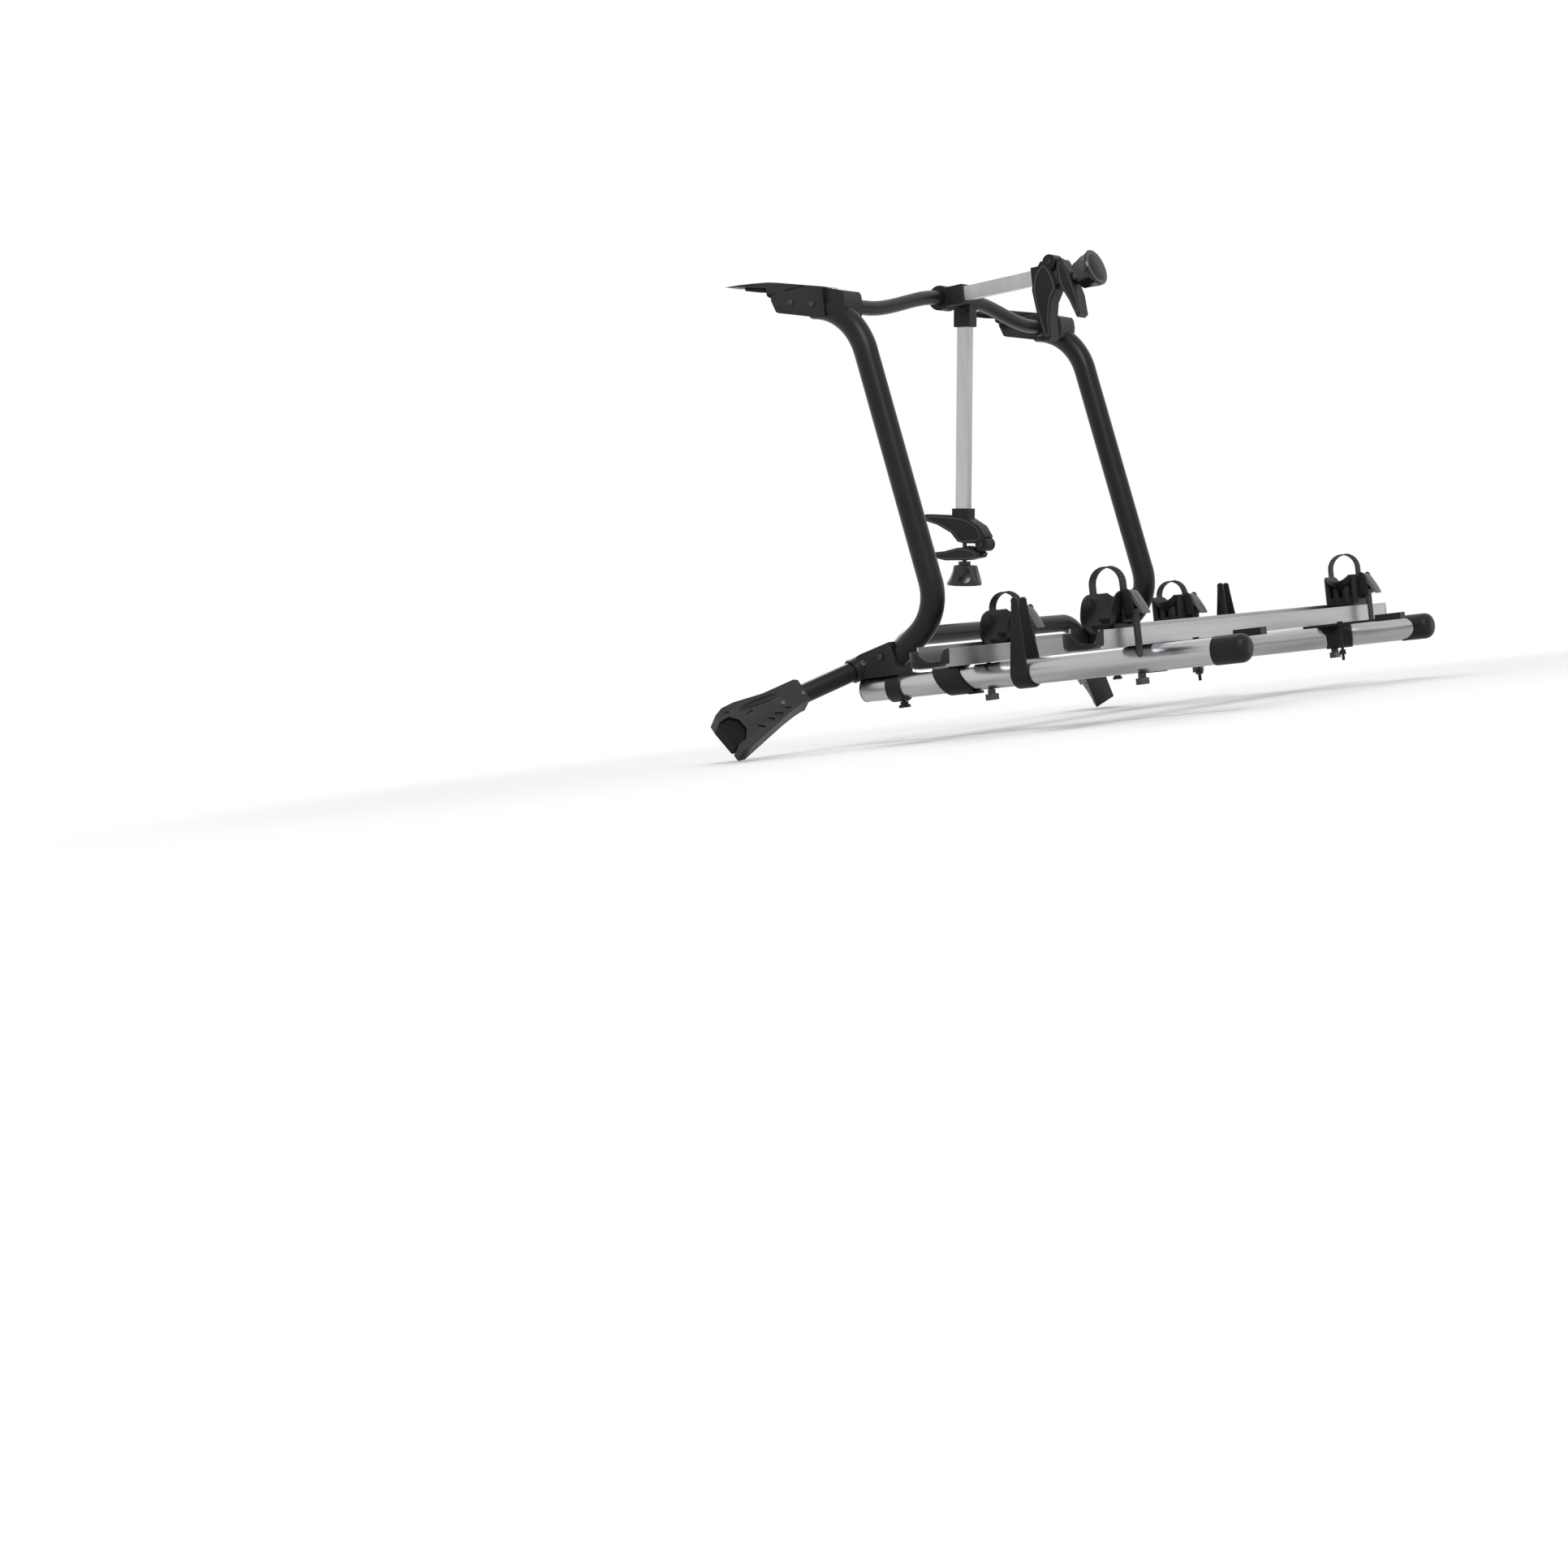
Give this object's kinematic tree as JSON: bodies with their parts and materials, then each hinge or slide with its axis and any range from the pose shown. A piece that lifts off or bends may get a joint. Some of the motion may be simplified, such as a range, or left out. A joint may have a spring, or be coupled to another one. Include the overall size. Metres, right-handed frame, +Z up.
{
  "type": "motorhome bike rack",
  "caption": "Rear bike carrier for a motorhome: hooked uprights, splayed struts with claws and a folding platform of round rails and wheel trays with strap holders and clamp arms.",
  "frame": {"origin": "midway between the two rail axes, at their height, under the centre line of the inner tray", "axes": "+X to the right along the trays, +Y towards the vehicle, +Z up"},
  "size_m": [1.5108, 1.05, 0.9538],
  "materials": {
    "black_tube": "satin black powder coat",
    "black_casting": "black coated casting with a fine texture",
    "rubber_pad": "dull black rubber",
    "bare_aluminium": "satin anodised",
    "steel": "dark zinc",
    "strap_plastic": "ribbed dark grey strap",
    "lever_plastic": "mid grey, smooth",
    "knob_plastic": "dark bluish grey",
    "black_plastic": "black, fine grain"
  },
  "bodies": {
    "frame": {"upright_left": "black_tube", "upright_right": "black_tube", "hook_bracket_left": "black_casting", "hook_bracket_right": "black_casting", "hook_pads": "rubber_pad", "hook_bolts": "steel", "crossbar_clamps": "black_casting", "top_crossbar": "black_tube", "lower_crossbar": "black_tube", "joint_bracket_left": "black_casting", "joint_bracket_right": "black_casting", "rail_stubs": "bare_aluminium", "fold_collars": "black_plastic", "fold_pins": "steel"},
    "joint_nut_left": {"joint_wing_nut_left": "black_plastic"},
    "joint_nut_right": {"joint_wing_nut_right": "black_plastic"},
    "strut_left": {"strut_tube_left": "black_tube", "claw_left": "black_casting", "claw_pad_left": "rubber_pad"},
    "strut_right": {"strut_tube_right": "black_tube", "claw_right": "black_casting", "claw_pad_right": "rubber_pad"},
    "platform": {"rail_left": "bare_aluminium", "rail_right": "bare_aluminium", "rail_knuckles": "black_plastic", "nose_caps": "black_plastic", "upright_clips": "black_plastic", "saddle_brackets": "black_plastic"},
    "inner_tray": {"tray_inner": "bare_aluminium", "tray_inner_caps": "black_plastic"},
    "outer_tray": {"tray_outer": "bare_aluminium", "tray_outer_caps": "black_plastic", "lamp_brackets": "black_plastic", "lamp_wing_nuts": "black_plastic"},
    "tray_bolt_inner_left": {"tray_knob_inner_left": "knob_plastic"},
    "tray_bolt_inner_right": {"tray_knob_inner_right": "knob_plastic"},
    "tray_bolt_outer_left": {"tray_knob_outer_left": "knob_plastic"},
    "tray_bolt_outer_right": {"tray_knob_outer_right": "knob_plastic"},
    "holder_inner_left": {"wheel_holder_inner_left": "black_plastic", "wheel_strap_inner_left": "strap_plastic"},
    "lever_inner_left": {"ratchet_lever_inner_left": "lever_plastic"},
    "holder_inner_right": {"wheel_holder_inner_right": "black_plastic", "wheel_strap_inner_right": "strap_plastic"},
    "lever_inner_right": {"ratchet_lever_inner_right": "lever_plastic"},
    "holder_outer_left": {"wheel_holder_outer_left": "black_plastic", "wheel_strap_outer_left": "strap_plastic"},
    "lever_outer_left": {"ratchet_lever_outer_left": "lever_plastic"},
    "holder_outer_right": {"wheel_holder_outer_right": "black_plastic", "wheel_strap_outer_right": "strap_plastic"},
    "lever_outer_right": {"ratchet_lever_outer_right": "lever_plastic"},
    "arm_inner": {"arm_base_inner": "black_plastic", "arm_bar_inner": "bare_aluminium", "clamp_jaw_inner": "black_plastic"},
    "strap_inner": {"clamp_strap_inner": "black_plastic"},
    "knob_inner": {"clamp_knob_inner": "black_plastic"},
    "arm_outer": {"arm_base_outer": "black_plastic", "arm_bar_outer": "bare_aluminium", "clamp_jaw_outer": "black_plastic"},
    "strap_outer": {"clamp_strap_outer": "black_plastic"},
    "knob_outer": {"clamp_knob_outer": "black_plastic"}
  },
  "joints": [
    {"name": "platform_fold", "type": "hinge", "parent": "frame", "child": "platform", "pos_m": [0, 0.057, 0.0335], "axis": [-1, 0, 0], "range_deg": [0, 78]},
    {"name": "joint_nut_turn_left", "type": "hinge", "parent": "frame", "child": "joint_nut_left", "pos_m": [-0.443, 0.202, 0], "axis": [0, 0, 1], "continuous": true},
    {"name": "strut_slide_left", "type": "slide", "parent": "frame", "child": "strut_left", "axis": [-0.8479, 0.4508, -0.279], "range_m": [0, 0.025]},
    {"name": "joint_nut_turn_right", "type": "hinge", "parent": "frame", "child": "joint_nut_right", "pos_m": [0.443, 0.202, 0], "axis": [0, 0, 1], "continuous": true},
    {"name": "strut_slide_right", "type": "slide", "parent": "frame", "child": "strut_right", "axis": [0.8479, 0.4508, -0.279], "range_m": [0, 0.025]},
    {"name": "inner_tray_shift", "type": "slide", "parent": "platform", "child": "inner_tray", "axis": [1, 0, 0], "range_m": [-0.008, 0.008]},
    {"name": "outer_tray_shift", "type": "slide", "parent": "platform", "child": "outer_tray", "axis": [1, 0, 0], "range_m": [-0.03, 0.03]},
    {"name": "tray_bolt_inner_left_turn", "type": "hinge", "parent": "platform", "child": "tray_bolt_inner_left", "pos_m": [-0.443, 0, 0], "axis": [0, 0, 1], "continuous": true},
    {"name": "tray_bolt_inner_right_turn", "type": "hinge", "parent": "platform", "child": "tray_bolt_inner_right", "pos_m": [0.443, 0, 0], "axis": [0, 0, 1], "continuous": true},
    {"name": "tray_bolt_outer_left_turn", "type": "hinge", "parent": "platform", "child": "tray_bolt_outer_left", "pos_m": [-0.443, -0.324, 0], "axis": [0, 0, 1], "continuous": true},
    {"name": "tray_bolt_outer_right_turn", "type": "hinge", "parent": "platform", "child": "tray_bolt_outer_right", "pos_m": [0.443, -0.324, 0], "axis": [0, 0, 1], "continuous": true},
    {"name": "holder_slide_inner_left", "type": "slide", "parent": "inner_tray", "child": "holder_inner_left", "axis": [1, 0, 0], "range_m": [0, 0.1]},
    {"name": "lever_turn_inner_left", "type": "hinge", "parent": "holder_inner_left", "child": "lever_inner_left", "pos_m": [-0.355, -0.044, 0.121], "axis": [-1, 0, 0], "range_deg": [0, 70]},
    {"name": "holder_slide_inner_right", "type": "slide", "parent": "inner_tray", "child": "holder_inner_right", "axis": [1, 0, 0], "range_m": [-0.1, 0]},
    {"name": "lever_turn_inner_right", "type": "hinge", "parent": "holder_inner_right", "child": "lever_inner_right", "pos_m": [0.355, -0.044, 0.121], "axis": [-1, 0, 0], "range_deg": [0, 70]},
    {"name": "holder_slide_outer_left", "type": "slide", "parent": "outer_tray", "child": "holder_outer_left", "axis": [1, 0, 0], "range_m": [-0.04, 0.04]},
    {"name": "lever_turn_outer_left", "type": "hinge", "parent": "holder_outer_left", "child": "lever_outer_left", "pos_m": [-0.538, -0.368, 0.121], "axis": [-1, 0, 0], "range_deg": [0, 70]},
    {"name": "holder_slide_outer_right", "type": "slide", "parent": "outer_tray", "child": "holder_outer_right", "axis": [1, 0, 0], "range_m": [-0.04, 0.04]},
    {"name": "lever_turn_outer_right", "type": "hinge", "parent": "holder_outer_right", "child": "lever_outer_right", "pos_m": [0.538, -0.368, 0.121], "axis": [-1, 0, 0], "range_deg": [0, 70]},
    {"name": "arm_swing_inner", "type": "hinge", "parent": "frame", "child": "arm_inner", "pos_m": [0.087, 0.28, 0.806], "axis": [-1, 0, 0], "range_deg": [0, 60]},
    {"name": "clamp_open_inner", "type": "hinge", "parent": "arm_inner", "child": "strap_inner", "pos_m": [0.087, 0.29705, 0.28232], "axis": [1, 0, 0], "range_deg": [0, 6.5]},
    {"name": "knob_turn_inner", "type": "hinge", "parent": "arm_inner", "child": "knob_inner", "pos_m": [0.087, 0.35704, 0.22911], "axis": [0, -0.1392, 0.9903], "continuous": true},
    {"name": "arm_swing_outer", "type": "hinge", "parent": "frame", "child": "arm_outer", "pos_m": [0, 0.28, 0.806], "axis": [1, 0, 0], "range_deg": [-20, 60]},
    {"name": "clamp_open_outer", "type": "hinge", "parent": "arm_outer", "child": "strap_outer", "pos_m": [0, 0.01086, 0.82994], "axis": [1, 0, 0], "range_deg": [0, 6.5]},
    {"name": "knob_turn_outer", "type": "hinge", "parent": "arm_outer", "child": "knob_outer", "pos_m": [0, -0.06094, 0.79425], "axis": [0, 0.9703, -0.2419], "continuous": true}
  ]
}
